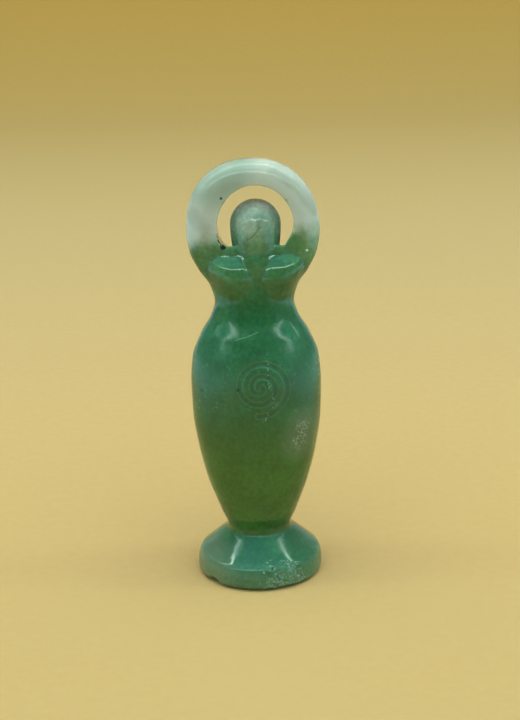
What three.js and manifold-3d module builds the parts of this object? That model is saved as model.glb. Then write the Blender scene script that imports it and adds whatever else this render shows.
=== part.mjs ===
// Spiral goddess carving: one piece of green stone, cut and polished.
// A round foot carries a tapering body without legs. The arms rise from the chest and join in a ring
// around the plain, egg-shaped head, and a spiral groove is cut into the belly.
// Millimetres, +Z up, the front faces -Y. The origin is the centre of the underside of the foot.
import * as THREE from "three";
import { LoftGeometry } from "three/addons/geometries/LoftGeometry.js";
import { mergeVertices, toCreasedNormals } from "three/addons/utils/BufferGeometryUtils.js";
import Module from "manifold-3d";

// Driving dimensions: the height, and the greatest half width, which arms and hips share
const HEIGHT = 75;
const HALF_WIDTH = 11.4;

// Foot: a flat underside with a rounded lower edge, a short wall, a round shoulder and a conical top
const FOOT_BASE_RADIUS = 9.6;
const FOOT_RADIUS = 11.2;
const FOOT_EDGE_HEIGHT = 1.3;
const FOOT_WALL_TOP = 1.7;
const FOOT_SHOULDER = { out: 1.2, up: 2.9 };
const FOOT_SLOPE = THREE.MathUtils.degToRad(40);
const FOOT_NECK_RADIUS = 5.0;

// Body: stations from the ankle to the arms, each with its half width and half depth
const RIBS_Z = 53.2;
const ARMS_Z = 62.4;
const ARMS_DEPTH = 3.2;
const BODY = [
  { name: "inside the foot", z: 4.5, width: 5.6, depth: 5.6 },
  { name: "ankle", z: 8.6, width: 5.65, depth: 5.65 },
  { name: "calf", z: 12.1, width: 6.9, depth: 6.6 },
  { name: "knee", z: 18.3, width: 9.1, depth: 7.9 },
  { name: "thigh", z: 24.4, width: 10.5, depth: 8.5 },
  { name: "buttock", z: 30, width: 11.25, depth: 8.7 },
  { name: "hip", z: 36, width: HALF_WIDTH, depth: 8.6 },
  { name: "upper hip", z: 40.6, width: 11.0, depth: 8.0 },
  { name: "flank", z: 44.5, width: 9.5, depth: 6.9 },
  { name: "lower waist", z: 48, width: 7.5, depth: 5.7 },
  { name: "waist", z: 50.4, width: 6.85, depth: 5.1 },
  { name: "ribs", z: RIBS_Z, width: 7.6, depth: 4.6 },
  { name: "chest", z: 56, width: 9.45, depth: 4.1 },
  { name: "shoulder", z: 59.4, width: 10.95, depth: 3.4 },
  { name: "arms", z: ARMS_Z, width: HALF_WIDTH, depth: ARMS_DEPTH },
];

// How square the forms are; 2 is a plain ellipse
const BODY_SQUARENESS = 2.2;
const ARMS_SQUARENESS = 3.6;
const RING_OUTLINE_SQUARENESS = { left: 2.3, right: 2.15 };
const RING_TOP_SQUARENESS = 4;

// The share of the ring's curve that is used, which leaves a small flat at its very top
const RING_TOP_SHARE = 0.9986;

// The head, the opening around it and the breasts sit a little to the right of the body's axis
const FEATURE_X = 0.45;

// Opening between arms and head: an ellipse with a floor that slopes down to the back.
// On the right a slanting side meets the floor in a notch.
const OPENING_Z = 63.6;
const OPENING_HALF_WIDTH = 6.55;
const OPENING_HALF_HEIGHT = 7.3;
const OPENING_FLOOR_Z = 59.75;
const OPENING_FLOOR_SLOPE = 0.27;
const OPENING_RIM_RADIUS = 0.5;
const NOTCH_X = 5.35;
const NOTCH_SLANT = 0.58;

// Head: an egg whose long lower half runs into the chest
const HEAD = { y: -0.4, z: 63.7, radius: 4.35, depth: 4.2, above: 4.4, below: 10 };

// Breasts: two low mounds on the chest that rise a little to the outside. The rim is steep above,
// and below the mounds fade out towards the waist.
const BREAST = { fromMiddle: 4.45, z: 55.6, halfWidth: 3.6, above: 3.4, below: 4.6, proud: 1.3, rise: 0.2 };
const BREAST_FULLNESS = { above: 0.7, below: 1.8 };
const BREAST_FADES = { from: 0.1, to: -0.5 };

// Spiral groove, which winds inwards anticlockwise from below
const SPIRAL_X = 0.7;
const SPIRAL_Z = 37.0;
const SPIRAL_OUTER_RADIUS = 5.1;
const SPIRAL_INNER_RADIUS = 0.35;
const SPIRAL_TURNS = 2.3;
const SPIRAL_START_ANGLE = THREE.MathUtils.degToRad(-95);
const CUTTER_RADIUS = 0.6;
const GROOVE_DEPTH = 0.25;

// How finely the curved forms are divided
const ROUND_STEPS = 52;
const ROWS_PER_STATION = 3;
const CHEST_ROWS_PER_STATION = 5;
const RING_ROWS = 11;
const EDGE_STEPS = 4;
const SHOULDER_STEPS = 6;
const RIM_STEPS = 3;
const HEAD_STEPS = 28;
const SPIRAL_STEPS_PER_TURN = 18;
const CUTTER_SIDES = 8;
const CREASE_ANGLE = THREE.MathUtils.degToRad(32);

const TURN = Math.PI * 2;

const wasm = await Module();
wasm.setup();

// Height of a superellipse above its axis, as a share of its half height, at a share of its half width
function superellipse(share, squareness) {
  return (1 - Math.min(Math.abs(share), 1) ** squareness) ** (1 / squareness);
}

// Smooth curve through one size of the body's stations that never overshoots them
function stationSize(key, z) {
  const last = BODY.length - 1;
  const slope = (i) => (BODY[i + 1][key] - BODY[i][key]) / (BODY[i + 1].z - BODY[i].z);
  const tangent = (i) => {
    if (i === 0 || i === last) return 0;
    const before = slope(i - 1);
    const after = slope(i);
    return before * after <= 0 ? 0 : (2 * before * after) / (before + after);
  };
  let i = 0;
  while (i < last - 1 && z > BODY[i + 1].z) i += 1;
  const gap = BODY[i + 1].z - BODY[i].z;
  const t = THREE.MathUtils.clamp((z - BODY[i].z) / gap, 0, 1);
  const eased = THREE.MathUtils.lerp(BODY[i][key], BODY[i + 1][key], t * t * (3 - 2 * t));
  return eased + t * (1 - t) * gap * ((1 - t) * tangent(i) - t * tangent(i + 1));
}

// Half width, half depth and squareness of the blank's level section at a height
function sectionAt(z) {
  const aboveArms = (Math.max(z - ARMS_Z, 0) / (HEIGHT - ARMS_Z)) * RING_TOP_SHARE;
  const share = THREE.MathUtils.smoothstep(z, RIBS_Z, ARMS_Z);
  const arms = stationSize("width", z);
  return {
    left: arms * superellipse(aboveArms, RING_OUTLINE_SQUARENESS.left),
    right: arms * superellipse(aboveArms, RING_OUTLINE_SQUARENESS.right),
    depth: stationSize("depth", z) * superellipse(aboveArms, RING_TOP_SQUARENESS),
    squareness: THREE.MathUtils.lerp(BODY_SQUARENESS, ARMS_SQUARENESS, share),
  };
}

// How far the breasts stand out from the chest at a point of the front
function breastRelief(x, z) {
  const outwards = Math.abs(x - FEATURE_X) - BREAST.fromMiddle;
  const upwards = z - BREAST.z - BREAST.rise * outwards;
  const across = outwards / BREAST.halfWidth;
  const up = upwards / (upwards > 0 ? BREAST.above : BREAST.below);
  const fullShare = THREE.MathUtils.smoothstep(up, BREAST_FADES.to, BREAST_FADES.from);
  const fullness = THREE.MathUtils.lerp(BREAST_FULLNESS.below, BREAST_FULLNESS.above, fullShare);
  return BREAST.proud * Math.max(1 - across ** 2 - up ** 2, 0) ** fullness;
}

// Where the front surface lies at a point of the front view
function frontY(x, z) {
  const { left, right, depth, squareness } = sectionAt(z);
  const width = x < 0 ? left : right;
  return -depth * superellipse(x / width, squareness) - breastRelief(x, z);
}

// A geometry as a solid for joining and cutting
function solidOf(geometry) {
  const bare = new THREE.BufferGeometry();
  bare.setAttribute("position", geometry.getAttribute("position"));
  bare.setIndex(geometry.index);
  const merged = mergeVertices(bare);
  const mesh = new wasm.Mesh({
    numProp: 3,
    vertProperties: new Float32Array(merged.attributes.position.array),
    triVerts: new Uint32Array(merged.index.array),
  });
  return new wasm.Manifold(mesh);
}

function footGeometry() {
  const edgeRadius = FOOT_RADIUS - FOOT_BASE_RADIUS;
  const edge = new THREE.EllipseCurve(
    FOOT_BASE_RADIUS, FOOT_EDGE_HEIGHT, edgeRadius, FOOT_EDGE_HEIGHT, -Math.PI / 2, 0,
  );
  const { out, up } = FOOT_SHOULDER;
  const coneStart = Math.atan2(up, out * Math.tan(FOOT_SLOPE));
  const shoulder = new THREE.EllipseCurve(FOOT_RADIUS - out, FOOT_WALL_TOP, out, up, 0, coneStart);
  const shoulderPoints = shoulder.getPoints(SHOULDER_STEPS);
  const { x: coneRadius, y: coneFoot } = shoulderPoints[SHOULDER_STEPS];
  const neckZ = coneFoot + (coneRadius - FOOT_NECK_RADIUS) * Math.tan(FOOT_SLOPE);
  const onAxis = (z) => new THREE.Vector2(0, z);
  const neck = new THREE.Vector2(FOOT_NECK_RADIUS, neckZ);
  const profile = [onAxis(0), ...edge.getPoints(EDGE_STEPS), ...shoulderPoints, neck, onAxis(neckZ)];
  return new THREE.LatheGeometry(profile, ROUND_STEPS).rotateX(Math.PI / 2);
}

// Heights of the blank's sections: even steps between the stations, closer ones at the breasts and
// up to the ring's top
function sectionHeights() {
  const heights = [];
  for (let i = 0; i < BODY.length - 1; i += 1) {
    const rows = BODY[i].z < RIBS_Z ? ROWS_PER_STATION : CHEST_ROWS_PER_STATION;
    for (let row = 0; row < rows; row += 1) {
      heights.push(THREE.MathUtils.lerp(BODY[i].z, BODY[i + 1].z, row / rows));
    }
  }
  for (let row = 0; row <= RING_ROWS; row += 1) {
    const rise = Math.sin((row / RING_ROWS) * Math.asin(RING_TOP_SHARE)) / RING_TOP_SHARE;
    heights.push(THREE.MathUtils.lerp(ARMS_Z, HEIGHT, rise));
  }
  return heights;
}

// The blank: the body from inside the foot up to the arms, whose ring is still a solid paddle
function blankGeometry() {
  const sections = sectionHeights().map((z) => {
    const { left, right, depth, squareness } = sectionAt(z);
    const section = [];
    for (let step = 0; step < ROUND_STEPS; step += 1) {
      const angle = (step / ROUND_STEPS) * TURN;
      const width = Math.cos(angle) < 0 ? left : right;
      const x = width * Math.cos(angle);
      const backY = depth * superellipse(x / width, squareness);
      section.push(new THREE.Vector3(x, Math.sin(angle) > 0 ? backY : frontY(x, z), z));
    }
    return section;
  });
  return new LoftGeometry(sections, { capStart: true, capEnd: true });
}

// Cutter for the opening: it runs from front to back and flares out to round the ring's inner edges
function openingGeometry() {
  const straight = ARMS_DEPTH - OPENING_RIM_RADIUS;
  const rim = [];
  for (let step = 0; step <= RIM_STEPS; step += 1) {
    const angle = (step / RIM_STEPS) * (Math.PI / 2);
    rim.push({
      y: straight + OPENING_RIM_RADIUS * Math.sin(angle),
      growth: OPENING_RIM_RADIUS * (1 - Math.cos(angle)),
    });
  }
  rim.push({ y: 2 * ARMS_DEPTH, growth: OPENING_RIM_RADIUS });
  const front = rim.map(({ y, growth }) => ({ y: -y, growth })).reverse();
  const sections = [...front, ...rim].map(({ y, growth }) => {
    const floor = OPENING_FLOOR_Z - OPENING_FLOOR_SLOPE * y;
    const section = [];
    for (let step = 0; step < ROUND_STEPS; step += 1) {
      const angle = (step / ROUND_STEPS) * TURN;
      const x = FEATURE_X - (OPENING_HALF_WIDTH + growth) * Math.cos(angle);
      const z = Math.max(OPENING_Z + (OPENING_HALF_HEIGHT + growth) * Math.sin(angle), floor);
      const slantX = NOTCH_X + growth + NOTCH_SLANT * (z - floor);
      section.push(new THREE.Vector3(Math.min(x, slantX), y, z));
    }
    return section;
  });
  return new LoftGeometry(sections, { capStart: true, capEnd: true });
}

function headGeometry() {
  const lower = new THREE.EllipseCurve(0, 0, HEAD.radius, HEAD.below, -Math.PI / 2, 0);
  const upper = new THREE.EllipseCurve(0, 0, HEAD.radius, HEAD.above, 0, Math.PI / 2);
  const profile = [...lower.getPoints(HEAD_STEPS / 4), ...upper.getPoints(HEAD_STEPS / 4).slice(1)];
  profile[0].x = 0;
  profile[profile.length - 1].x = 0;
  return new THREE.LatheGeometry(profile, HEAD_STEPS)
    .rotateX(Math.PI / 2)
    .scale(1, HEAD.depth / HEAD.radius, 1)
    .translate(FEATURE_X, HEAD.y, HEAD.z);
}

// Centre of the groove's cutter along the spiral, so that its tip is the groove's depth under the belly
function spiralPath() {
  const steps = Math.round(SPIRAL_TURNS * SPIRAL_STEPS_PER_TURN);
  const path = [];
  for (let step = 0; step <= steps; step += 1) {
    const share = step / steps;
    const angle = SPIRAL_START_ANGLE + share * SPIRAL_TURNS * TURN;
    const radius = THREE.MathUtils.lerp(SPIRAL_OUTER_RADIUS, SPIRAL_INNER_RADIUS, share);
    const x = SPIRAL_X + radius * Math.cos(angle);
    const z = SPIRAL_Z + radius * Math.sin(angle);
    path.push(new THREE.Vector3(x, frontY(x, z) - CUTTER_RADIUS + GROOVE_DEPTH, z));
  }
  return path;
}

// Round cutter swept along the spiral, with each section square to the path
function grooveGeometry() {
  const path = spiralPath();
  const forward = new THREE.Vector3(0, -1, 0);
  const sections = path.map((point, i) => {
    const before = path[Math.max(i - 1, 0)];
    const after = path[Math.min(i + 1, path.length - 1)];
    const along = after.clone().sub(before).normalize();
    const across = along.clone().cross(forward).normalize();
    const section = [];
    for (let side = 0; side < CUTTER_SIDES; side += 1) {
      const angle = (side / CUTTER_SIDES) * TURN;
      const corner = point.clone().addScaledVector(forward, CUTTER_RADIUS * Math.cos(angle));
      section.push(corner.addScaledVector(across, CUTTER_RADIUS * Math.sin(angle)));
    }
    return section;
  });
  return new LoftGeometry(sections, { capStart: true, capEnd: true });
}

function carvingGeometry() {
  const carving = solidOf(blankGeometry())
    .subtract(solidOf(openingGeometry()))
    .add(solidOf(footGeometry()))
    .add(solidOf(headGeometry()))
    .subtract(solidOf(grooveGeometry()));
  const { vertProperties, triVerts } = carving.getMesh();
  const geometry = new THREE.BufferGeometry();
  geometry.setAttribute("position", new THREE.BufferAttribute(vertProperties, 3));
  geometry.setIndex(new THREE.BufferAttribute(triVerts, 1));
  return toCreasedNormals(geometry, CREASE_ANGLE);
}

const polishedStone = new THREE.MeshStandardMaterial({ color: 0x3f7a58, roughness: 0.18, metalness: 0 });

const goddess = new THREE.Mesh(carvingGeometry(), polishedStone);
goddess.name = "goddess_carving";

const group = new THREE.Group();
group.add(goddess);

export default group;
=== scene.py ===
import itertools
import math

import bmesh
import bpy
import numpy as np
from mathutils import Matrix, Vector


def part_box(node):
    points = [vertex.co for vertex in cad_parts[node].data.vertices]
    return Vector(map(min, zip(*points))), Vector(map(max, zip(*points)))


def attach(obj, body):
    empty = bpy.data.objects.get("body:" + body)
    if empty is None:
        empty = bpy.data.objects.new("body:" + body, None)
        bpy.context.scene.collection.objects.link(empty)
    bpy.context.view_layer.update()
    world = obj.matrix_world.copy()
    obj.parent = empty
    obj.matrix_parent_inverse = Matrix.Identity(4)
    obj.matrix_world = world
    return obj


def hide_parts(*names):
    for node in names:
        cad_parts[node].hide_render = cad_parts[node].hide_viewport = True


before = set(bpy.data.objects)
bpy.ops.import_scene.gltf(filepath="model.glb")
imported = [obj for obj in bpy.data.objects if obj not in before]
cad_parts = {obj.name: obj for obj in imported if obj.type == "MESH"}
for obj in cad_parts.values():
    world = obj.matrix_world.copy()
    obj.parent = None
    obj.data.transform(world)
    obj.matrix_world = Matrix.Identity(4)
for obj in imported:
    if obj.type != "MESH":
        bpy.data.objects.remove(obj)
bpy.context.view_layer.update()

NODE = "goddess_carving"
MM = 0.001

# Sizes of the carving in millimetres; the height comes from the frame
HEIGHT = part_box(NODE)[1][2] / MM
HALF_WIDTH = 11.4

# Foot
FOOT_BASE_RADIUS = 9.6
FOOT_RADIUS = 11.2
FOOT_EDGE_HEIGHT = 1.3
FOOT_WALL_TOP = 1.7
FOOT_SHOULDER = (1.2, 2.9)
FOOT_SLOPE = math.radians(40)
ANKLE_FILLET = 0.8

# Body stations: height, half width and half depth
ARMS_Z = 62.4
ARMS_DEPTH = 3.2
BODY = np.array([
    (4.5, 5.6, 5.6),
    (8.6, 5.65, 5.65),
    (12.1, 6.9, 6.6),
    (18.3, 9.1, 7.9),
    (24.4, 10.5, 8.5),
    (30.0, 11.25, 8.7),
    (36.0, 11.4, 8.6),
    (40.6, 11.0, 8.0),
    (44.5, 9.5, 6.9),
    (48.0, 7.5, 5.7),
    (50.4, 6.85, 5.1),
    (53.2, 7.6, 4.6),
    (56.0, 9.45, 4.1),
    (59.4, 10.95, 3.4),
    (ARMS_Z, HALF_WIDTH, ARMS_DEPTH),
])
BODY_BOTTOM = 3.0
BODY_SQUARENESS = 2.2
ARMS_SQUARENESS = 3.6
SQUARER_FROM_Z = 53.2
RING_SQUARENESS = (2.3, 2.15)
# The ring is cut from a plate. Its rim is rounded over this far in, blended in between these heights.
RING_ROUNDING = 3.8
RIM_SQUARENESS = 2.6
RING_FROM = (57.0, 62.0)

# Opening around the head, with a floor that slopes down to the back, a rounded end on the left and a
# notch on the right
FEATURE_X = 0.45
OPENING_Z = 63.6
OPENING_SIZE = (6.55, 7.3)
OPENING_FLOOR_Z = 59.75
OPENING_FLOOR_SLOPE = 0.27
OPENING_RIM = 0.3
LEFT_END_ROUNDING = 1.6
RIGHT_END_ROUNDING = 0.3
NOTCH_X = 5.35
NOTCH_SLANT = 0.58

# Head and breasts
HEAD_CENTRE = (FEATURE_X, -0.4, 63.7)
HEAD_SIZE = (4.35, 4.2)
HEAD_ABOVE = 4.4
HEAD_BELOW = 10.0
HEAD_FILLET = 0.5
CHIN_FILLET = 3.0
CHIN_Z = (57.5, 60.0)
BREAST_FROM_MIDDLE = 4.45
BREAST_Z = 55.6
BREAST_HALF_WIDTH = 3.6
BREAST_ABOVE = 3.4
BREAST_BELOW = 4.6
BREAST_RISE = 0.2
BREAST_PROUD = 1.3
BREAST_FULLNESS = (1.8, 0.7)
BREAST_FADES = (-0.5, 0.1)

# Spiral groove on the belly, winding inwards anticlockwise from below
SPIRAL_X = 0.7
SPIRAL_Z = 37.0
SPIRAL_OUTER_RADIUS = 5.1
SPIRAL_INNER_RADIUS = 0.35
SPIRAL_TURNS = 2.3
SPIRAL_START = math.radians(-95)
GROOVE_HALF_WIDTH = 0.75
GROOVE_DEPTH = 0.09

# Wear: a pitted patch and nicks along the foot's edge, and chips at the opening's left end
PIT_CENTRE = (4.6, -10.0, 2.1)
PIT_REACH = (4.4, 3.0, 3.1)
PIT_CELLS = (0.27, 0.6)
PIT_SEEDS = (4, 3)
PIT_SHARES = (0.55, 0.45)
PIT_LEVEL = 0.38
PIT_STEEPNESS = 2.2
PIT_DEPTH = 0.26
# How far past the patch's rim pits are looked for, where they fade in, and how ragged the rim is
PIT_LIMIT = -0.3
PIT_RIM = (-0.1, 0.5)
PIT_RAGGEDNESS = 0.9
NICKS = [
    ((-9.9, -8.4, -1.2), 3.2),
    ((-7.2, -9.6, -0.3), 0.9),
    ((3.2, -11.7, 0.1), 1.0),
    ((6.3, -10.2, -0.1), 0.9),
]
NICK_SOFTNESS = 0.25
CHIPS = [
    ((-5.95, -2.8, 62.4), 0.34),
    ((-5.8, -2.8, 61.5), 0.36),
    ((-5.15, -2.8, 60.7), 0.5),
    ((-4.5, -2.7, 60.35), 0.3),
    ((-3.4, -2.3, 60.1), 0.3),
]
CHIP_SOFTNESS = 0.1
# Unevenness of the hand polish: size of the waves and their height, from just above the underside
POLISH_WAVES = [(3.6, 0.06), (1.5, 0.018)]
WAVES_FROM_Z = (0.0, 1.5)
# The front's relief fades in between these distances in front of the middle
FRONT_FROM = (0.5, 2.5)

# Mesh: the level set's step and border, how often and how far vertices are moved onto the surface and
# evened out, and the regions with fine carving, whose faces are split again
GRID_STEP = 0.32
GRID_BORDER = 3 * GRID_STEP
FIRST_ROUNDS = 2
RELAX_ROUNDS = 3
LAST_ROUNDS = 3
RELAX_SHARE = 0.5
LONGEST_MOVE = 0.2
LEAST_SLOPE_SQUARED = 0.05
FINE_REGIONS = [
    ((-6.5, -12.0, 29.5), (7.5, -5.0, 44.0)),
    ((-11.5, -12.0, -1.0), (10.0, -5.0, 5.6)),
    ((-7.5, -4.5, 59.0), (-2.2, 0.0, 63.4)),
]
FINEST_REGIONS = [((-0.8, -12.0, -1.0), (9.6, -6.5, 5.4))]
# Step that slopes are measured over, and the least slope and gauge that anything is divided by
NUDGE = 0.01
LEAST_SLOPE = 0.02
TINY = 1e-6
# The noise repeats after this many cells
NOISE_CELLS = 32


def smooth_curve(z, column):
    """One size of the body's stations at the heights z, without overshoot between stations."""
    heights = BODY[:, 0]
    values = BODY[:, column]
    slopes = np.diff(values) / np.diff(heights)
    same_way = slopes[:-1] * slopes[1:] > 0
    safe_sum = np.where(same_way, slopes[:-1] + slopes[1:], 1.0)
    tangents = np.zeros(len(values))
    tangents[1:-1] = np.where(same_way, 2 * slopes[:-1] * slopes[1:] / safe_sum, 0.0)
    i = np.clip(np.searchsorted(heights, z) - 1, 0, len(values) - 2)
    gap = heights[i + 1] - heights[i]
    t = np.clip((z - heights[i]) / gap, 0, 1)
    eased = values[i] + (values[i + 1] - values[i]) * t * t * (3 - 2 * t)
    return eased + t * (1 - t) * gap * ((1 - t) * tangents[i] - t * tangents[i + 1])


def smoothstep(low, high, value):
    t = np.clip((value - low) / (high - low), 0, 1)
    return t * t * (3 - 2 * t)


def smooth_min(a, b, size):
    overlap = np.maximum(size - np.abs(a - b), 0) / size
    return np.minimum(a, b) - overlap * overlap * size / 4


def smooth_max(a, b, size):
    return -smooth_min(-a, -b, size)


def to_distance(gauge, x, y, z):
    """Turns a gauge that is 1 on a surface into a distance from it, by the gauge's own slope."""
    value = gauge(x, y, z)
    slope = np.sqrt(
        (gauge(x + NUDGE, y, z) - value) ** 2
        + (gauge(x, y + NUDGE, z) - value) ** 2
        + (gauge(x, y, z + NUDGE) - value) ** 2
    )
    return (value - 1) * NUDGE / np.maximum(slope, NUDGE * LEAST_SLOPE)


def ellipse_distance(offsets, sizes):
    """Distance from an ellipse or ellipsoid, from the offsets to its centre and its half sizes."""
    shares = [offset / size for offset, size in zip(offsets, sizes)]
    gauge = np.sqrt(sum(share ** 2 for share in shares)) + TINY
    slope = np.sqrt(sum((share / size) ** 2 for share, size in zip(shares, sizes))) / gauge
    return (gauge - 1) / np.maximum(slope, LEAST_SLOPE)


def outline_gauge(x, z):
    """The outline of the blank in the front view."""
    low_z = np.minimum(z, ARMS_Z)
    rise = np.maximum(z - ARMS_Z, 0) / (HEIGHT - ARMS_Z)
    squareness = np.where(x < 0, *RING_SQUARENESS)
    across = np.abs(x) / smooth_curve(low_z, 1)
    return (across ** squareness + rise ** squareness) ** (1 / squareness)


def body_gauge(x, y, z):
    """The level sections of the body, up to the arms."""
    squareness = BODY_SQUARENESS + (ARMS_SQUARENESS - BODY_SQUARENESS) * smoothstep(
        SQUARER_FROM_Z, ARMS_Z, z
    )
    across = outline_gauge(x, z)
    deep = np.abs(y) / smooth_curve(np.minimum(z, ARMS_Z), 2)
    return (across ** squareness + deep ** squareness) ** (1 / squareness)


def plate_distance(x, y, z):
    """The plate that the ring is cut from, with its round rim."""
    inwards = to_distance(lambda x, y, z: outline_gauge(x, z), x, y, z)
    sizes = (RING_ROUNDING, smooth_curve(np.minimum(z, ARMS_Z), 2))
    shares = (np.maximum(inwards + RING_ROUNDING, 0) / sizes[0], np.abs(y) / sizes[1])
    gauge = sum(share ** RIM_SQUARENESS for share in shares) ** (1 / RIM_SQUARENESS) + TINY
    slopes = [(share / gauge) ** (RIM_SQUARENESS - 1) / size for share, size in zip(shares, sizes)]
    return (gauge - 1) / np.maximum(np.hypot(*slopes), LEAST_SLOPE)


def opening_distance(x, y, z):
    """Distance from the sides of the opening, below zero inside it."""
    ellipse = ellipse_distance((x - FEATURE_X, z - OPENING_Z), OPENING_SIZE)
    above_floor = z - OPENING_FLOOR_Z + OPENING_FLOOR_SLOPE * y
    notch = (x - NOTCH_X - NOTCH_SLANT * above_floor) / math.hypot(1, NOTCH_SLANT)
    sides = smooth_max(ellipse, notch, RIGHT_END_ROUNDING)
    rounding = np.where(x < FEATURE_X, LEFT_END_ROUNDING, RIGHT_END_ROUNDING)
    return smooth_max(sides, -above_floor, rounding)


def head_distance(x, y, z):
    offsets = (x - HEAD_CENTRE[0], y - HEAD_CENTRE[1], z - HEAD_CENTRE[2])
    height = np.where(offsets[2] > 0, HEAD_ABOVE, HEAD_BELOW)
    return ellipse_distance(offsets, (*HEAD_SIZE, height))


def foot_distance(x, y, z):
    """A short wall with a rounded edge below it, and a rounded shoulder and a cone above it."""
    radius = np.hypot(x, y)
    shoulder_radius = FOOT_RADIUS - FOOT_SHOULDER[0]
    cone_start = math.atan2(FOOT_SHOULDER[1], FOOT_SHOULDER[0] * math.tan(FOOT_SLOPE))
    cone_out = radius - shoulder_radius - FOOT_SHOULDER[0] * math.cos(cone_start)
    cone_up = z - FOOT_WALL_TOP - FOOT_SHOULDER[1] * math.sin(cone_start)
    cone = cone_out * math.sin(FOOT_SLOPE) + cone_up * math.cos(FOOT_SLOPE)
    on_cone = cone_up * math.sin(FOOT_SLOPE) > cone_out * math.cos(FOOT_SLOPE)
    past_shoulder = (np.maximum(radius - shoulder_radius, 0), z - FOOT_WALL_TOP)
    above = np.where(on_cone, cone, ellipse_distance(past_shoulder, FOOT_SHOULDER))
    past_edge = (np.maximum(radius - FOOT_BASE_RADIUS, 0), FOOT_EDGE_HEIGHT - z)
    below = ellipse_distance(past_edge, (FOOT_RADIUS - FOOT_BASE_RADIUS, FOOT_EDGE_HEIGHT))
    wall = radius - FOOT_RADIUS
    return np.where(z > FOOT_WALL_TOP, above, np.where(z < FOOT_EDGE_HEIGHT, below, wall))


def breast_relief(x, z):
    """Height of the two low mounds over the chest, at a point of the front view."""
    relief = 0
    for side in (-1, 1):
        outwards = (x - FEATURE_X) * side - BREAST_FROM_MIDDLE
        upwards = z - BREAST_Z - BREAST_RISE * outwards
        across = outwards / BREAST_HALF_WIDTH
        up = upwards / np.where(upwards > 0, BREAST_ABOVE, BREAST_BELOW)
        full_share = smoothstep(*BREAST_FADES, up)
        fullness = BREAST_FULLNESS[0] + (BREAST_FULLNESS[1] - BREAST_FULLNESS[0]) * full_share
        relief = relief + BREAST_PROUD * np.maximum(1 - across ** 2 - up ** 2, 0) ** fullness
    return relief


def groove_relief(x, z):
    """Depth of the spiral groove at a point of the front view."""
    out_x = x - SPIRAL_X
    out_z = z - SPIRAL_Z
    radius = np.hypot(out_x, out_z)
    first = np.mod(np.arctan2(out_z, out_x) - SPIRAL_START, 2 * math.pi)
    whole = SPIRAL_TURNS * 2 * math.pi
    nearest = np.full(np.shape(radius), np.inf)
    for turn in range(math.ceil(SPIRAL_TURNS)):
        share = (first + turn * 2 * math.pi) / whole
        arm = SPIRAL_OUTER_RADIUS + (SPIRAL_INNER_RADIUS - SPIRAL_OUTER_RADIUS) * share
        nearest = np.where(share <= 1, np.minimum(nearest, np.abs(radius - arm)), nearest)
    for share in (0, 1):
        angle = SPIRAL_START + share * whole
        arm = SPIRAL_OUTER_RADIUS + (SPIRAL_INNER_RADIUS - SPIRAL_OUTER_RADIUS) * share
        to_end = np.hypot(out_x - arm * math.cos(angle), out_z - arm * math.sin(angle))
        nearest = np.minimum(nearest, to_end)
    across = np.clip(nearest / GROOVE_HALF_WIDTH, 0, 1)
    return GROOVE_DEPTH * (1 - across ** 2) ** 2


def value_noise(points, cell, seed):
    """Smooth random numbers from 0 to 1, in bumps about one cell wide."""
    lattice = np.random.default_rng(seed).random((NOISE_CELLS, NOISE_CELLS, NOISE_CELLS))
    place = points / cell
    low = np.floor(place).astype(int)
    share = place - low
    share = share * share * (3 - 2 * share)
    total = 0
    for corner in itertools.product((0, 1), repeat=3):
        weight = np.prod(np.where(np.array(corner) == 1, share, 1 - share), axis=-1)
        total = total + weight * lattice[tuple(np.moveaxis((low + corner) % NOISE_CELLS, -1, 0))]
    return total


def pit_relief(points):
    """Depth of the pits in the foot's worn patch, which fade out at its ragged rim."""
    out = (points - np.array(PIT_CENTRE)) / np.array(PIT_REACH)
    reach = 1 - np.sqrt((out ** 2).sum(-1))
    relief = np.zeros(reach.shape)
    near = reach > PIT_LIMIT
    fine, coarse = [value_noise(points[near], cell, seed) for cell, seed in zip(PIT_CELLS, PIT_SEEDS)]
    share = smoothstep(*PIT_RIM, reach[near] + PIT_RAGGEDNESS * (coarse - 0.5))
    hollow = np.maximum(PIT_SHARES[0] * fine + PIT_SHARES[1] * coarse - PIT_LEVEL, 0)
    relief[near] = share * hollow * PIT_STEEPNESS * PIT_DEPTH
    return relief


def chipped(stone, points, scoops, softness):
    """The stone with small round scoops taken out."""
    for centre, radius in scoops:
        scoop = radius - np.sqrt(((points - np.array(centre)) ** 2).sum(-1))
        stone = smooth_max(stone, scoop, softness)
    return stone


def carving_distance(points):
    """Distance from the carving's surface, below zero in the stone."""
    x, y, z = points[..., 0], points[..., 1], points[..., 2]
    front = smoothstep(*FRONT_FROM, -y)
    stone = to_distance(body_gauge, x, y, z)
    stone = stone + (plate_distance(x, y, z) - stone) * smoothstep(*RING_FROM, z)
    stone = np.maximum(stone, BODY_BOTTOM - z) - breast_relief(x, z) * front
    stone = smooth_max(stone, -opening_distance(x, y, z), OPENING_RIM)
    fillet = CHIN_FILLET + (HEAD_FILLET - CHIN_FILLET) * smoothstep(*CHIN_Z, z)
    stone = smooth_min(stone, head_distance(x, y, z), fillet)
    stone = smooth_min(stone, foot_distance(x, y, z), ANKLE_FILLET)
    above_floor = smoothstep(*WAVES_FROM_Z, z)
    for seed, (cell, height) in enumerate(POLISH_WAVES):
        stone = stone + height * (value_noise(points, cell, seed) - 0.5) * above_floor
    stone = stone + groove_relief(x, z) * front + pit_relief(points)
    stone = chipped(stone, points, NICKS, NICK_SOFTNESS)
    return chipped(stone, points, CHIPS, CHIP_SOFTNESS)


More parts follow.
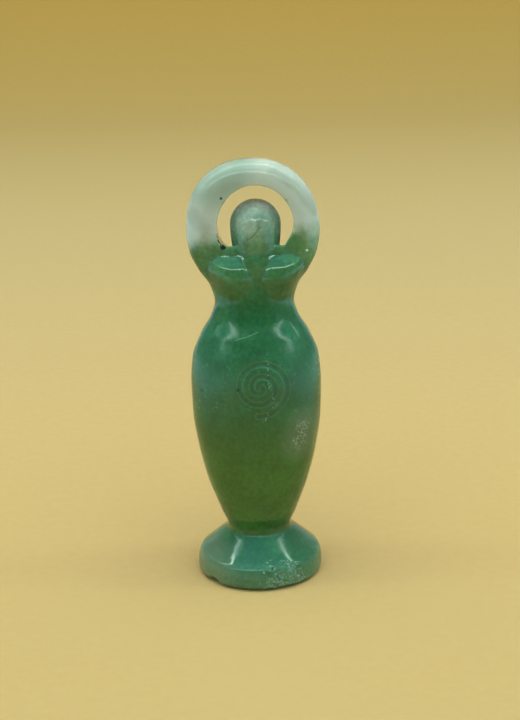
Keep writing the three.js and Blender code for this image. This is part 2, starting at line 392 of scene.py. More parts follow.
def edge_crossings(field, axis):
    """Which of the grid's edges along an axis cross the surface, and how far along each edge."""
    low = [slice(None)] * 3
    high = [slice(None)] * 3
    low[axis] = slice(0, -1)
    high[axis] = slice(1, None)
    before, after = field[tuple(low)], field[tuple(high)]
    crossed = (before < 0) != (after < 0)
    return crossed, np.where(crossed, before / np.where(crossed, before - after, 1), 0)


def other_axes(axis):
    return [other for other in range(3) if other != axis]


def cell_sums(shape, crossings):
    """For each cell of the grid, the sum of its edges' crossing points and their number."""
    total = np.zeros((*(shape - 1), 3))
    count = np.zeros(shape - 1)
    corner = np.stack(np.meshgrid(*[np.arange(n) for n in shape], indexing="ij"), -1).astype(float)
    for axis, (crossed, share) in enumerate(crossings):
        place = corner[tuple(slice(0, n) for n in crossed.shape)].copy()
        place[..., axis] += share
        place *= crossed[..., None]
        for starts in itertools.product((0, 1), repeat=2):
            part = [slice(None)] * 3
            for other, start in zip(other_axes(axis), starts):
                part[other] = slice(start, start + shape[other] - 1)
            total += place[tuple(part)]
            count += crossed[tuple(part)]
    return total, count


def net_quads(inside, index, crossings):
    """A quad round each of the grid's edges that crosses the surface, facing out of the stone."""
    quads = []
    for axis, (crossed, _) in enumerate(crossings):
        first, second = other_axes(axis)
        cells = np.argwhere(crossed)
        cells = cells[(cells[:, first] > 0) & (cells[:, second] > 0)]
        corners = []
        for back_first, back_second in ((1, 1), (0, 1), (0, 0), (1, 0)):
            cell = cells.copy()
            cell[:, first] -= back_first
            cell[:, second] -= back_second
            corners.append(index[tuple(cell.T)])
        quad = np.stack(corners, -1)
        leaving = inside[tuple(cells.T)]
        flip = leaving if axis == 1 else ~leaving
        quad[flip] = quad[flip][:, ::-1]
        quads.append(quad)
    return np.concatenate(quads)


def surface_net(field, origin, step):
    """Vertices and quads of a level set's zero surface, one vertex in each cell that it crosses."""
    crossings = [edge_crossings(field, axis) for axis in range(3)]
    total, count = cell_sums(np.array(field.shape), crossings)
    active = count > 0
    index = np.full(active.shape, -1)
    index[active] = np.arange(active.sum())
    vertices = origin + step * total[active] / count[active][:, None]
    return vertices, net_quads(field < 0, index, crossings)


def settle(vertices, rounds):
    """Moves vertices onto the carving's surface, straight along the slope of its distance."""
    for _ in range(rounds):
        value = carving_distance(vertices)
        slope = np.empty_like(vertices)
        for axis in range(3):
            step = np.zeros(3)
            step[axis] = NUDGE
            slope[:, axis] = (carving_distance(vertices + step) - value) / NUDGE
        size = np.maximum((slope ** 2).sum(1), LEAST_SLOPE_SQUARED)
        move = -slope * (value / size)[:, None]
        vertices = vertices + np.clip(move, -LONGEST_MOVE, LONGEST_MOVE)
    return vertices


def relax(vertices, edges, rounds):
    """Evens out the mesh: each vertex moves towards its neighbours' middle, then back to the surface."""
    ends = np.concatenate([edges, edges[:, ::-1]])
    degree = np.bincount(ends[:, 0], minlength=len(vertices))
    for _ in range(rounds):
        middle = np.stack(
            [np.bincount(ends[:, 0], vertices[ends[:, 1], a], len(vertices)) / degree for a in range(3)], -1
        )
        vertices = settle(vertices + RELAX_SHARE * (middle - vertices), 1)
    return vertices


def mesh_from(name, vertices, quads):
    mesh = bpy.data.meshes.new(name)
    mesh.vertices.add(len(vertices))
    place_vertices(mesh, vertices)
    mesh.loops.add(quads.size)
    mesh.loops.foreach_set("vertex_index", quads.ravel())
    mesh.polygons.add(len(quads))
    mesh.polygons.foreach_set("loop_start", np.arange(len(quads)) * 4)
    mesh.update(calc_edges=True)
    mesh.validate()
    return mesh


def split_faces(mesh, regions):
    """Splits each face in the regions into four."""
    shape = bmesh.new()
    shape.from_mesh(mesh)
    edges = set()
    for face in shape.faces:
        centre = face.calc_center_median() / MM
        if any(all(low[a] < centre[a] < high[a] for a in range(3)) for low, high in regions):
            edges.update(face.edges)
    bmesh.ops.subdivide_edges(shape, edges=list(edges), cuts=1, use_grid_fill=True)
    bmesh.ops.triangulate(shape, faces=[face for face in shape.faces if len(face.verts) > 4])
    shape.to_mesh(mesh)
    shape.free()


def mesh_array(items, name, width, kind=float):
    values = np.empty(len(items) * width, dtype=kind)
    items.foreach_get(name, values)
    return values.reshape(-1, width)


def place_vertices(mesh, vertices):
    mesh.vertices.foreach_set("co", (vertices * MM).ravel())


def carving_mesh():
    """The whole carving's fine mesh and its vertices in millimetres."""
    low = np.array([-HALF_WIDTH, -FOOT_RADIUS, 0]) - GRID_BORDER
    high = np.array([HALF_WIDTH, FOOT_RADIUS, HEIGHT]) + GRID_BORDER
    axes = [np.arange(low[a], high[a] + GRID_STEP, GRID_STEP) for a in range(3)]
    grid = np.stack(np.meshgrid(*axes, indexing="ij"), -1)
    vertices, quads = surface_net(carving_distance(grid), low, GRID_STEP)
    vertices = settle(vertices, FIRST_ROUNDS)
    mesh = mesh_from("carving", vertices, quads)
    vertices = relax(vertices, mesh_array(mesh.edges, "vertices", 2, np.int32), RELAX_ROUNDS)
    place_vertices(mesh, vertices)
    for regions in (FINE_REGIONS, FINEST_REGIONS):
        split_faces(mesh, regions)
        vertices = settle(mesh_array(mesh.vertices, "co", 3) / MM, LAST_ROUNDS)
        place_vertices(mesh, vertices)
    mesh.update()
    mesh.shade_smooth()
    return mesh, vertices


def carving_piece():
    """The carving with the marks that its material reads."""
    mesh, vertices = carving_mesh()
    x, y, z = vertices.T
    add_mark(mesh, "groove", groove_relief(x, z) / GROOVE_DEPTH * (y < 0))
    add_mark(mesh, "pits", pit_relief(vertices) / PIT_DEPTH)
    piece = bpy.data.objects.new("carving", mesh)
    bpy.context.collection.objects.link(piece)
    return piece


def add_mark(mesh, name, values):
    """Keeps one number for each vertex, which the stone's material reads."""
    mesh.attributes.new(name, "FLOAT", "POINT").data.foreach_set("value", values.astype(np.float32))


# The share of a line's half width that has its full strength
LINE_CORE = 0.3


class Nodes:
    """Short calls for building a material's node tree."""

    def __init__(self, name):
        self.material = bpy.data.materials.new(name)
        self.material.use_nodes = True
        self.tree = self.material.node_tree
        self.shader = self.tree.nodes["Principled BSDF"]

    def add(self, kind, inputs=(), **settings):
        made = self.tree.nodes.new(kind)
        for key, value in settings.items():
            setattr(made, key, value)
        for key, value in dict(inputs).items():
            self.put(made.inputs[key], value)
        return made

    def put(self, socket, value):
        if isinstance(value, bpy.types.NodeSocket):
            self.tree.links.new(value, socket)
        else:
            socket.default_value = value

    def math(self, operation, *values):
        return self.add("ShaderNodeMath", dict(enumerate(values)), operation=operation).outputs[0]

    def noise(self, place, scale, detail=4.0, roughness=0.55):
        inputs = {"Vector": place, "Scale": scale, "Detail": detail, "Roughness": roughness}
        return self.add("ShaderNodeTexNoise", inputs).outputs["Fac"]

    def remap(self, value, low, high, to_low=0.0, to_high=1.0, kind="SMOOTHSTEP"):
        inputs = {"Value": value, "From Min": low, "From Max": high, "To Min": to_low, "To Max": to_high}
        made = self.add("ShaderNodeMapRange", inputs, interpolation_type=kind)
        return made.outputs["Result"]

    def colour_ramp(self, share, stops):
        """Colours that follow a number from 0 to 1, from (number, colour) pairs."""
        made = self.add("ShaderNodeValToRGB", {0: share})
        fill_ramp(made.color_ramp, "B_SPLINE", stops)
        return made.outputs["Color"]

    def ramp(self, height, stops):
        """Colours that follow the height, from (millimetres, colour) pairs."""
        top = stops[-1][0]
        share = self.math("DIVIDE", height, top * MM)
        return self.colour_ramp(share, [(stop / top, tint) for stop, tint in stops])

    def mark(self, name):
        return self.add("ShaderNodeAttribute", attribute_name=name).outputs["Fac"]

    def vector(self, operation, *values):
        made = self.add("ShaderNodeVectorMath", dict(enumerate(values)), operation=operation)
        return made.outputs["Value" if operation in ("LENGTH", "DISTANCE", "DOT_PRODUCT") else "Vector"]

    def wobbled(self, place, scale, reach):
        """The place, pushed about by noise so that what it draws has a ragged outline."""
        noise = self.add("ShaderNodeTexNoise", {"Vector": place, "Scale": scale, "Detail": 3.0})
        push = self.vector("SUBTRACT", noise.outputs["Color"], (0.5, 0.5, 0.5))
        scaled = self.add("ShaderNodeVectorMath", {0: push, "Scale": reach * 2}, operation="SCALE")
        return self.vector("ADD", place, scaled.outputs["Vector"])

    def stretched(self, place, shares):
        return self.vector("MULTIPLY", place, shares)

    def spot(self, place, centre, radius, core=0.6):
        """1 in a round spot's core and 0 past its soft rim, with sizes in millimetres."""
        away = self.vector("DISTANCE", place, metres(centre))
        return self.remap(away, radius * MM, radius * core * MM)

    def line(self, place, points, half_width):
        """1 along a run of straight stretches and 0 beside them, with sizes in millimetres."""
        share = 0.0
        for start, end in zip(points, points[1:]):
            span = (Vector(end) - Vector(start)) * MM
            from_start = self.vector("SUBTRACT", place, metres(start))
            along = self.vector("DOT_PRODUCT", from_start, tuple(span / span.length_squared))
            along = self.add("ShaderNodeClamp", {"Value": along}).outputs[0]
            nearest = self.add("ShaderNodeVectorMath", {0: tuple(span), "Scale": along}, operation="SCALE")
            away = self.vector("DISTANCE", from_start, nearest.outputs["Vector"])
            stretch = self.remap(away, half_width * MM, half_width * LINE_CORE * MM)
            share = self.math("MAXIMUM", stretch, share)
        return share

    def mix(self, share, first, second, blend="MIX"):
        made = self.add("ShaderNodeMix", data_type="RGBA", blend_type=blend)
        self.put(made.inputs["Factor"], share)
        self.put(made.inputs["A"], first)
        self.put(made.inputs["B"], second)
        return made.outputs["Result"]


def colour(red, green, blue):
    return (red, green, blue, 1.0)


def fill_ramp(ramp, interpolation, stops):
    ramp.interpolation = interpolation
    while len(ramp.elements) < len(stops):
        ramp.elements.new(0.5)
    for element, (position, tint) in zip(ramp.elements, stops):
        element.position = position
        element.color = colour(*tint)


# The stone's colours up the figure, each from a height in millimetres. The paler colours at 0 and 3.2 mm
# are painted light on the foot's wall, from above and from the floor's bounce.
STONE_COLOURS_AND_FOOT_LIGHT = [
    (0.0, (0.077, 0.195, 0.108)),
    (3.2, (0.06, 0.168, 0.092)),
    (5.5, (0.027, 0.098, 0.036)),
    (8.0, (0.026, 0.112, 0.031)),
    (9.5, (0.036, 0.132, 0.026)),
    (16.0, (0.045, 0.137, 0.019)),
    (24.0, (0.041, 0.12, 0.017)),
    (32.0, (0.02, 0.10, 0.03)),
    (37.0, (0.019, 0.112, 0.04)),
    (41.0, (0.02, 0.12, 0.048)),
    (46.0, (0.016, 0.115, 0.045)),
    (50.0, (0.018, 0.11, 0.025)),
    (56.0, (0.046, 0.136, 0.048)),
    (60.0, (0.065, 0.19, 0.082)),
    (64.0, (0.19, 0.265, 0.18)),
    (68.0, (0.36, 0.34, 0.29)),
]
# How far the clouds push these colours up and down, in metres
COLOUR_DRIFT = 0.012
# The ring's milky stone, its white veins, its greener side, and the shade that multiplies the arms' green.
# The arms' shade and the milky stone start between these heights, the milky stone outside the opening's
# outline or above the head. Heights and widths are in millimetres, the drift in metres.
PALE_RING = (0.45, 0.44, 0.38)
WHITE = (0.37, 0.36, 0.30)
RING_TINT = (0.12, 0.20, 0.13)
ARMS_TINT = (1.0, 0.95, 0.72)
ARMS_FROM_Z = (57.0, 61.0)
OPENING_OUTLINE = (5.2, 5.8)
RING_FROM_Z = (68.2, 68.8)
PALE_FROM_Z = (59.8, 64.4)
PALE_SLOPE = -0.13
PALE_DRIFT = 0.008
# The round place of the greener side, its radius and its strength
GREEN_SIDE = ((-6.0, 0.0, 73.0), 8.0, 0.4)
# Noises of the stone, in waves to the metre, and the range that most of a noise's values are in
CLOUD_SCALE = 170.0
GRAIN_SCALE = 1400.0
VEIL_SCALE = 120.0
VEIN_SCALE = 210.0
DOT_SCALE = 3600.0
NOISE_RANGE = (0.3, 0.7)
# Shades that clouds and grain multiply the stone by
CLOUD_SHADES = (0.84, 1.12)
GRAIN_SHADES = (0.84, 1.16)
# Upright veils, paler than the stone: stretch, range of the noise, strength and colour
VEIL_STRETCH = (1.0, 1.0, 0.45)
VEIL_RANGE = (0.5, 0.8)
VEIL_STRENGTH = 0.12
VEIL = (0.16, 0.28, 0.14)
# Wobbles that make outlines ragged: waves to the metre, and reach in metres
VEIN_WOBBLE = (260.0, 0.0016)
CLOUD_VEIN_WOBBLE = (150.0, 0.003)
LINE_WOBBLE = (600.0, 0.0003)
FLAW_WOBBLE = (700.0, 0.0016)
GRIME_WOBBLE = (700.0, 0.0008)
VEIN_RANGE = (0.45, 0.75)
VEIN_STRENGTH = 0.6
# The polish: its roughness, and where it is rubbed (from heights, to heights, roughness that it adds)
POLISH = (0.035, 0.075)
RUBBED = [
    ((4.6, 6.8), (10.5, 8.5), 0.12),
    ((21.0, 32.0), (46.0, 38.0), 0.2),
    ((38.0, 43.0), (50.0, 47.5), 0.095),
    ((48.5, 51.0), (57.0, 54.5), 0.12),
]

# Marks in the stone of the front, and one patch of painted light, at points of the front view (x, 0, z) in
# millimetres. Spots are (place, radius, core, strength, colour), where the core is the share of the radius
# with full strength.
FLAT = (1.0, 0.0, 1.0)
DARK = (0.006, 0.02, 0.01)
BLACK = (0.002, 0.0015, 0.001)
GRIME_SPREAD = 1.35
GRIME_CORE = 0.85
GRIME_STRENGTH = 0.97
SPOTS = [
    ((-3.1, 0, 36.65), 0.32, 0.7, 0.95, DARK),
    ((-9.5, 0, 35.8), 0.5, 0.5, 0.7, DARK),
    ((-5.2, 0, 68.85), 0.27, 0.7, 0.9, DARK),
    ((9.1, 0, 59.6), 0.25, 0.6, 0.9, (0.6, 0.7, 0.6)),
    ((3.3, 0, 34.1), 0.6, 0.3, 0.25, (0.20, 0.34, 0.22)),
    # A wide paler patch over the foot's left side: painted light from above and from the floor's bounce,
    # not a mark in the stone.
    ((-10.5, 0, 3.5), 7.5, 0.4, 0.5, (0.16, 0.19, 0.11)),
]
# Lines are (points, half width, strength, colour)
LINES = [
    ([(-3.44, 0, 45.05), (-0.9, 0, 45.8), (0.6, 0, 46.3)], 0.12, 0.26, (0.25, 0.45, 0.33)),
    ([(-1.0, 0, 61.9), (0.0, 0, 62.6), (1.2, 0, 64.0)], 0.26, 0.45, (0.03, 0.07, 0.035)),
]
CRACK = [(1.9, 0, 42.7), (2.1, 0, 39.9), (2.2, 0, 36.9), (3.2, 0, 34.2), (1.2, 0, 31.0)]
CRACK_HALF_WIDTH = 0.36
CRACK_LIGHT = (0.3, 0.5, 0.36)
# The crack's and the flaw's dots: two ends of the noise's range, and their strength
LIGHT_DOTS = (0.52, 0.62, 0.5)
DARK_DOTS = (0.48, 0.4, 0.6)
FLAW_DOTS = (0.45, 0.62, 0.5)
DOT_STRETCH = (1.0, 1.0, 0.7)
CLOUDY_FLAW = ((8.0, 0, 29.6), (7.1, 0, 26.2))
FLAW_HALF_WIDTH = 1.7
HAZE_HALF_WIDTH = 4.5
HAZE_STRENGTH = 0.14
# The marks fade in between these depths, just in front of the middle, in metres
MARKS_FROM = (0.0, -0.001)
# Milky veins of the ring, in millimetres: (start, end, half width)
RING_VEINS = [
    ((3.5, -2.5, 73.0), (7.5, -2.5, 71.3), 1.6),
    ((7.5, -2.5, 71.3), (10.3, -2.5, 66.5), 1.9),
    ((-10.5, -2.5, 66.5), (-8.2, -2.5, 63.5), 2.3),
]
# The groove, as shares of its depth: the rise and fall of the painted highlight along its chipped edges,
# where they catch light, and its floor's painted shade
GROOVE_HIGHLIGHT_RISE = (0.02, 0.2)
GROOVE_HIGHLIGHT_FALL = (0.75, 0.35)
GROOVE_FLOOR_SHADE = (0.5, 0.9)
GROOVE_STRENGTH = 0.08
GROOVE_HIGHLIGHT = (0.3, 0.5, 0.34)
GROOVE_ROUGH_FROM = (0.0, 0.3)
GROOVE_ROUGHNESS = 0.12
# The pits, as shares of their depth: where the stone is broken, and the deep ones with their strength
BROKEN_FROM = (0.02, 0.2)
BROKEN_STRENGTH = 0.12
BROKEN = (0.25, 0.42, 0.32)
DEEP_PITS = (0.35, 0.8, 0.6)
CRUMBS_FROM = (0.5, 0.62)
CRUMB_STRENGTH = 0.35
CRUMB = (0.5, 0.68, 0.58)
PIT_ROUGHNESS = 0.25
# How the stone bends light, and how far light spreads inside it, in metres
STONE_IOR = 1.54
SPREAD_SHARES = (0.7, 1.0, 0.8)
SPREAD = 0.004
# Fine grain in the polish: strength, and depth in metres
POLISH_GRAIN = (0.03, 0.0002)


def metres(point):
    return tuple(value * MM for value in point)


def stone_tint(nodes, place, height, clouds, grain):
    """The green that changes up the figure, with painted light making the foot's wall paler, and with soft
    clouds and a fine grain.
    """
    drift = nodes.math("SUBTRACT", clouds, 0.5)
    body = nodes.ramp(nodes.math("MULTIPLY_ADD", drift, COLOUR_DRIFT, height), STONE_COLOURS_AND_FOOT_LIGHT)
    veils = nodes.noise(nodes.stretched(place, VEIL_STRETCH), VEIL_SCALE)
    body = nodes.mix(nodes.remap(veils, *VEIL_RANGE, 0.0, VEIL_STRENGTH), body, colour(*VEIL))
    shade = nodes.remap(clouds, *NOISE_RANGE, *CLOUD_SHADES)
    shade = nodes.math("MULTIPLY", shade, nodes.remap(grain, *NOISE_RANGE, *GRAIN_SHADES))
    return nodes.mix(1.0, body, shade, "MULTIPLY")


def milky_stone(nodes, place):
    """The ring's pale stone, with white veins and a greener side."""
    cloudy = nodes.noise(nodes.wobbled(place, *CLOUD_VEIN_WOBBLE), VEIN_SCALE)
    veins = nodes.remap(cloudy, *VEIN_RANGE, 0.0, VEIN_STRENGTH)
    wobbly = nodes.wobbled(place, *VEIN_WOBBLE)
    for start, end, half_width in RING_VEINS:
        veins = nodes.math("MAXIMUM", nodes.line(wobbly, (start, end), half_width), veins)
    milk = nodes.mix(veins, colour(*PALE_RING), colour(*WHITE))
    centre, radius, strength = GREEN_SIDE
    green_side = nodes.math("MULTIPLY", nodes.spot(place, centre, radius), strength)
    return nodes.mix(green_side, milk, colour(*RING_TINT))


def ring_tint(nodes, place, parts, clouds, stone):
    """The milky stone of the ring, down to a slanting ragged edge, and yellower arms below it."""
    drift = nodes.math("MULTIPLY", nodes.math("SUBTRACT", clouds, 0.5), PALE_DRIFT)
    slanted = nodes.math("ADD", nodes.math("MULTIPLY_ADD", parts["X"], PALE_SLOPE, parts["Z"]), drift)
    from_middle = nodes.math("ABSOLUTE", nodes.math("SUBTRACT", parts["X"], FEATURE_X * MM))
    beside_head = nodes.remap(from_middle, *metres(OPENING_OUTLINE))
    above_head = nodes.remap(parts["Z"], *metres(RING_FROM_Z))
    on_ring = nodes.math("MAXIMUM", beside_head, above_head)
    pale = nodes.math("MULTIPLY", nodes.remap(slanted, *metres(PALE_FROM_Z)), on_ring)
    on_arms = nodes.math("MULTIPLY", nodes.remap(parts["Z"], *metres(ARMS_FROM_Z)), beside_head)
    stone = nodes.mix(on_arms, stone, nodes.mix(1.0, stone, colour(*ARMS_TINT), "MULTIPLY"))
    return nodes.mix(pale, stone, milky_stone(nodes, place))


def groove_highlight_and_shade(nodes, groove, stone):
    """Painted highlights along the spiral groove's chipped edges, where they catch light, and painted shade
    on its darker floor.
    """
    rise = nodes.remap(groove, *GROOVE_HIGHLIGHT_RISE)
    edge = nodes.math("MULTIPLY", rise, nodes.remap(groove, *GROOVE_HIGHLIGHT_FALL))
    stone = nodes.mix(nodes.math("MULTIPLY", edge, GROOVE_STRENGTH), stone, colour(*GROOVE_HIGHLIGHT))
    return nodes.mix(nodes.remap(groove, *GROOVE_FLOOR_SHADE, 0.0, GROOVE_STRENGTH), stone, colour(*DARK))


def dotted(nodes, where, dots, spread, stone, tint):
    """The stone with dots of one colour in a place, spread over (end, end, strength) of a noise."""
    *ends, strength = spread
    share = nodes.math("MULTIPLY", where, nodes.remap(dots, *ends, 0.0, strength))
    return nodes.mix(share, stone, colour(*tint))


def front_marks_and_painted_light(nodes, place, depth, plain):
    """Specks, tinted places, a scratch, a dotted crack, a cloud of white specks and a patch of painted
    light on the foot's left, all on the front.
    """
    stone = plain
    flat = nodes.stretched(place, FLAT)
    for centre, radius, core, strength, tint in SPOTS:
        share = nodes.math("MULTIPLY", nodes.spot(flat, centre, radius, core), strength)
        stone = nodes.mix(share, stone, colour(*tint))
    rough_place = nodes.stretched(nodes.wobbled(place, *LINE_WOBBLE), FLAT)
    for points, half_width, strength, tint in LINES:
        share = nodes.math("MULTIPLY", nodes.line(rough_place, points, half_width), strength)
        stone = nodes.mix(share, stone, colour(*tint))
    dots = nodes.noise(nodes.stretched(place, DOT_STRETCH), DOT_SCALE, 2.0)
    crack = nodes.line(rough_place, CRACK, CRACK_HALF_WIDTH)
    stone = dotted(nodes, crack, dots, LIGHT_DOTS, stone, CRACK_LIGHT)
    stone = dotted(nodes, crack, dots, DARK_DOTS, stone, DARK)
    haze = nodes.math("MULTIPLY", nodes.line(flat, CLOUDY_FLAW, HAZE_HALF_WIDTH), HAZE_STRENGTH)
    stone = nodes.mix(haze, stone, colour(*WHITE))
    ragged = nodes.stretched(nodes.wobbled(place, *FLAW_WOBBLE), FLAT)
    flaw = nodes.line(ragged, CLOUDY_FLAW, FLAW_HALF_WIDTH)
    stone = dotted(nodes, flaw, dots, FLAW_DOTS, stone, WHITE)
    return nodes.mix(nodes.remap(depth, *MARKS_FROM), plain, stone)


def worn_places(nodes, place, stone, pits, grime):
    """Broken stone in the foot's pits, paler and sprinkled with crumbs, and grime in the chips."""
    broken = nodes.remap(pits, *BROKEN_FROM)
    stone = nodes.mix(nodes.math("MULTIPLY", broken, BROKEN_STRENGTH), stone, colour(*BROKEN))
    *ends, strength = DEEP_PITS
    stone = nodes.mix(nodes.remap(pits, *ends, 0.0, strength), stone, colour(*DARK))
    crumbs = nodes.remap(nodes.noise(place, DOT_SCALE, 3.0), *CRUMBS_FROM)
    bright = nodes.math("MULTIPLY", nodes.math("MULTIPLY", broken, crumbs), CRUMB_STRENGTH)
    stone = nodes.mix(bright, stone, colour(*CRUMB))
    return nodes.mix(nodes.math("MULTIPLY", grime, GRIME_STRENGTH), stone, colour(*BLACK))


def stone_roughness(nodes, height, grain, groove, pits):
    """A high polish, duller where it is rubbed, in the groove and in the pits."""
    rough = nodes.remap(grain, *NOISE_RANGE, *POLISH)
    for from_heights, to_heights, added in RUBBED:
        below = nodes.remap(height, *metres(to_heights))
        rubbed = nodes.math("MULTIPLY", nodes.remap(height, *metres(from_heights)), below)
        rough = nodes.math("MULTIPLY_ADD", rubbed, added, rough)
    rough = nodes.math("MULTIPLY_ADD", nodes.remap(groove, *GROOVE_ROUGH_FROM), GROOVE_ROUGHNESS, rough)
    return nodes.math("MULTIPLY_ADD", nodes.remap(pits, *BROKEN_FROM), PIT_ROUGHNESS, rough)


def grime_share(nodes, place):
    """1 in the chips at the opening's left end, where grime sits, and 0 elsewhere."""
    grime = 0.0
    ragged = nodes.wobbled(place, *GRIME_WOBBLE)
    for centre, radius in CHIPS:
        spot = nodes.spot(ragged, centre, radius * GRIME_SPREAD, GRIME_CORE)
        grime = nodes.math("MAXIMUM", spot, grime)
    return grime


def stone_material():
    nodes = Nodes("green_stone")
    place = nodes.add("ShaderNodeTexCoord").outputs["Object"]
    parts = nodes.add("ShaderNodeSeparateXYZ", {"Vector": place}).outputs
    clouds = nodes.noise(place, CLOUD_SCALE, 5.0)
    grain = nodes.noise(place, GRAIN_SCALE, 4.0, 0.65)
    groove = nodes.mark("groove")
    pits = nodes.mark("pits")
    stone = stone_tint(nodes, place, parts["Z"], clouds, grain)
    stone = ring_tint(nodes, place, parts, clouds, stone)
    stone = groove_highlight_and_shade(nodes, groove, stone)
    stone = front_marks_and_painted_light(nodes, place, parts["Y"], stone)
    stone = worn_places(nodes, place, stone, pits, grime_share(nodes, place))
    strength, depth = POLISH_GRAIN
    polish = nodes.add("ShaderNodeBump", {"Height": grain, "Strength": strength, "Distance": depth})
    sockets = nodes.shader.inputs
    nodes.put(sockets["Base Color"], stone)
    nodes.put(sockets["Roughness"], stone_roughness(nodes, parts["Z"], grain, groove, pits))
    nodes.put(sockets["IOR"], STONE_IOR)
    nodes.put(sockets["Subsurface Weight"], 1.0)
    nodes.put(sockets["Subsurface Radius"], SPREAD_SHARES)
    nodes.put(sockets["Subsurface Scale"], SPREAD)
    nodes.put(sockets["Normal"], polish.outputs["Normal"])
    return nodes.material


# The sheet's colours from front to back, each from a distance in metres. They hold painted shade: darker in
# front, where it evens out the floor's light, and browner and darker towards the top of the sweep.
PAPER_COLOURS_AND_SHADE = [
    (-0.40, (0.30, 0.20, 0.082)),
    (0.00, (0.53, 0.325, 0.127)),
    (0.15, (0.53, 0.355, 0.152)),
    (0.35, (0.575, 0.42, 0.19)),
    (0.70, (0.58, 0.375, 0.093)),
    (1.05, (0.57, 0.285, 0.022)),
]
# Past its own width the coloured sheet gives way to a white table, at both sides of the picture
PAPER_EDGE = (0.105, 0.115)
PAPER_WIDENING = 0.2
TABLE_WHITE = (0.60, 0.70, 0.72)
FIBRE_SCALE = 500.0
FIBRE_SHADES = (0.985, 1.015)


def paper_material():
    nodes = Nodes("pale_paper")
    place = nodes.add("ShaderNodeTexCoord").outputs["Object"]
    parts = nodes.add("ShaderNodeSeparateXYZ", {"Vector": place}).outputs
    fibres = nodes.noise(place, FIBRE_SCALE)
    # The sheet's colour, with its painted shade, follows the distance from front to back.
    first, last = PAPER_COLOURS_AND_SHADE[0][0], PAPER_COLOURS_AND_SHADE[-1][0]
    share = nodes.remap(parts["Y"], first, last, kind="LINEAR")
    tone = nodes.colour_ramp(share, [((y - first) / (last - first), tint) for y, tint in PAPER_COLOURS_AND_SHADE])
    aside = nodes.math("ABSOLUTE", parts["X"])
    behind = nodes.math("MAXIMUM", parts["Y"], 0.0)
    past_edge = nodes.remap(nodes.math("MULTIPLY_ADD", behind, -PAPER_WIDENING, aside), *PAPER_EDGE)
    tone = nodes.mix(past_edge, tone, colour(*TABLE_WHITE))
    shade = nodes.remap(fibres, *NOISE_RANGE, *FIBRE_SHADES)
    nodes.put(nodes.shader.inputs["Base Color"], nodes.mix(1.0, tone, shade, "MULTIPLY"))
    nodes.put(nodes.shader.inputs["Roughness"], 0.85)
    nodes.put(nodes.shader.inputs["Specular IOR Level"], 0.2)
    return nodes.material


# The sheet: a flat floor that sweeps up behind the figure, in metres
SHEET_HALF_WIDTH = 1.6
SHEET_FRONT = -1.2
SWEEP_START = 0.55
SWEEP_RADIUS = 0.5
SWEEP_STEPS = 24
SHEET_TOP = 1.2


def paper_sheet():
    profile = [(SHEET_FRONT, 0.0), (0.0, 0.0)]
    for step in range(SWEEP_STEPS + 1):
        angle = math.pi / 2 * step / SWEEP_STEPS
        out = SWEEP_START + SWEEP_RADIUS * math.sin(angle)
        profile.append((out, SWEEP_RADIUS * (1 - math.cos(angle))))
    profile.append((SWEEP_START + SWEEP_RADIUS, SHEET_TOP))
    mesh = bpy.data.meshes.new("paper_sheet")
    vertices = [(x, y, z) for y, z in profile for x in (-SHEET_HALF_WIDTH, SHEET_HALF_WIDTH)]
    faces = [(2 * i, 2 * i + 1, 2 * i + 3, 2 * i + 2) for i in range(len(profile) - 1)]
    mesh.from_pydata(vertices, [], faces)
    mesh.shade_smooth()
    sheet = bpy.data.objects.new("paper_sheet", mesh)
    bpy.context.collection.objects.link(sheet)
    sheet.data.materials.append(paper_material())


# Overhead light, in metres: a dim bluish panel, with strips of (width, radiance) along its edges a little
# below it. The near strip and the side strips face the figure. A wide warm light above them fills in
# and leaves no reflection.
PANEL_HEIGHT = 0.36
STRIP_DROP = 0.002
PANEL_NEAR = -0.53
PANEL_FAR = -0.005
PANEL_LEFT = -0.72
PANEL_RIGHT = 0.86
PANEL_RADIANCE = 0.6
PANEL_TINT = (0.1, 0.85, 0.9)
FAR_STRIP = (0.018, 12.0)
NEAR_STRIP = (0.028, 9.0)
SIDE_STRIPS = (0.03, 1.5)
STRIP_TINT = (0.78, 1.0, 0.88)
FILL_PLACE = (0.0, -0.3, 1.0)
FILL_SIZE = (1.6, 1.6)
FILL_RADIANCE = 2.12
FILL_TINT = (1.0, 0.85, 0.73)
# Light from all round, by the height of the direction (the sine of its elevation)
SKY_IN_FRONT = [
    (0.0, (0.30, 0.25, 0.12)),
    (0.3, (0.10, 0.11, 0.09)),
    (0.6, (0.12, 0.28, 0.36)),
    (1.0, (0.10, 0.45, 0.65)),
]
SKY_AT_SIDES = [
    (0.0, (0.34, 0.42, 0.38)),
    (0.4, (0.24, 0.42, 0.46)),
    (1.0, (0.10, 0.45, 0.65)),
]
SIDES_FROM = (0.35, 0.75)


def area_light(name, place, size, radiance, tint, tilt=(0.0, 0.0)):
    data = bpy.data.lights.new(name, "AREA")
    data.shape = "RECTANGLE"
    data.size, data.size_y = size
    data.energy = radiance * math.pi * size[0] * size[1]
    data.color = tint
    light = bpy.data.objects.new(name, data)
    light.location = place
    light.rotation_euler = (*tilt, 0.0)
    bpy.context.collection.objects.link(light)
    return light


def strip_light(name, place, strip, across, tilt=(0.0, 0.0)):
    """A strip across the panel, from its (width, radiance)."""
    width, radiance = strip
    area_light(name, place, (across, width), radiance, STRIP_TINT, tilt)


def sky_ramp(tree, height, stops):
    ramp = tree.nodes.new("ShaderNodeValToRGB")
    fill_ramp(ramp.color_ramp, "EASE", stops)
    tree.links.new(height, ramp.inputs["Fac"])
    return ramp.outputs["Color"]


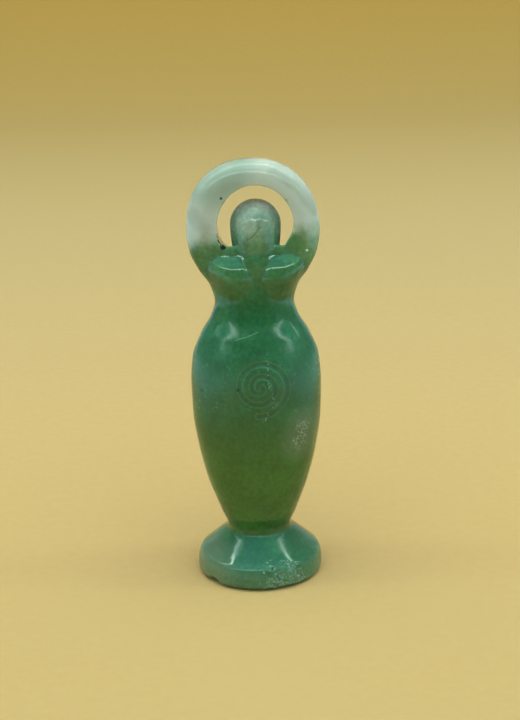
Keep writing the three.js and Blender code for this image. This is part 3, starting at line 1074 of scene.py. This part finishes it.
def soft_sky():
    """Light from all round, bright from above, dim from the front and bluish from the sides."""
    world = bpy.data.worlds.new("studio")
    world.use_nodes = True
    tree = world.node_tree
    place = tree.nodes.new("ShaderNodeTexCoord")
    parts = tree.nodes.new("ShaderNodeSeparateXYZ")
    aside = tree.nodes.new("ShaderNodeMath")
    aside.operation = "ABSOLUTE"
    to_side = tree.nodes.new("ShaderNodeMapRange")
    to_side.interpolation_type = "SMOOTHSTEP"
    to_side.inputs["From Min"].default_value, to_side.inputs["From Max"].default_value = SIDES_FROM
    both = tree.nodes.new("ShaderNodeMix")
    both.data_type = "RGBA"
    tree.links.new(place.outputs["Generated"], parts.inputs["Vector"])
    tree.links.new(parts.outputs["X"], aside.inputs[0])
    tree.links.new(aside.outputs[0], to_side.inputs["Value"])
    tree.links.new(to_side.outputs["Result"], both.inputs["Factor"])
    tree.links.new(sky_ramp(tree, parts.outputs["Z"], SKY_IN_FRONT), both.inputs["A"])
    tree.links.new(sky_ramp(tree, parts.outputs["Z"], SKY_AT_SIDES), both.inputs["B"])
    tree.links.new(both.outputs["Result"], tree.nodes["Background"].inputs["Color"])
    bpy.context.scene.world = world


def studio_light():
    middle = ((PANEL_LEFT + PANEL_RIGHT) / 2, (PANEL_NEAR + PANEL_FAR) / 2, PANEL_HEIGHT)
    across = PANEL_RIGHT - PANEL_LEFT
    deep = PANEL_FAR - PANEL_NEAR
    below = PANEL_HEIGHT - STRIP_DROP
    area_light("panel", middle, (across, deep), PANEL_RADIANCE, PANEL_TINT)
    fill = area_light("fill", FILL_PLACE, FILL_SIZE, FILL_RADIANCE, FILL_TINT)
    fill.visible_glossy = False
    far_place = (middle[0], PANEL_FAR, below)
    strip_light("far_strip", far_place, FAR_STRIP, across)
    near_place = (middle[0], PANEL_NEAR, below)
    near_tilt = (math.atan2(-PANEL_NEAR, PANEL_HEIGHT), 0.0)
    strip_light("near_strip", near_place, NEAR_STRIP, across, near_tilt)
    for name, x in (("left_strip", PANEL_LEFT), ("right_strip", PANEL_RIGHT)):
        width, radiance = SIDE_STRIPS
        tilt = (0.0, math.atan2(x, PANEL_HEIGHT))
        area_light(name, (x, middle[1], below), (width, deep), radiance, STRIP_TINT, tilt)


# Camera: it looks down at the figure from the front, turned a little as the photograph is
CAMERA_TARGET = Vector((0.74, 0.0, 39.38)) * MM
CAMERA_DISTANCE = 260 * MM
CAMERA_ELEVATION = math.radians(17.5)
CAMERA_ROLL = math.radians(1.24)
CAMERA_LENS = 74.17
CAMERA_NEAREST = 0.01


def photo_camera():
    data = bpy.data.cameras.new("camera")
    data.lens = CAMERA_LENS
    data.clip_start = CAMERA_NEAREST
    camera = bpy.data.objects.new("camera", data)
    bpy.context.collection.objects.link(camera)
    back = Vector((0, -math.cos(CAMERA_ELEVATION), math.sin(CAMERA_ELEVATION)))
    level = Matrix.Rotation(math.pi / 2 - CAMERA_ELEVATION, 4, "X")
    roll = Matrix.Rotation(-CAMERA_ROLL, 4, "Z")
    camera.matrix_world = Matrix.Translation(CAMERA_TARGET + back * CAMERA_DISTANCE) @ level @ roll
    bpy.context.scene.camera = camera


bpy.context.scene.view_settings.view_transform = "Standard"

photo_camera()
studio_light()
soft_sky()
paper_sheet()

carving = carving_piece()
carving.data.materials.append(stone_material())
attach(carving, "root")
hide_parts(NODE)
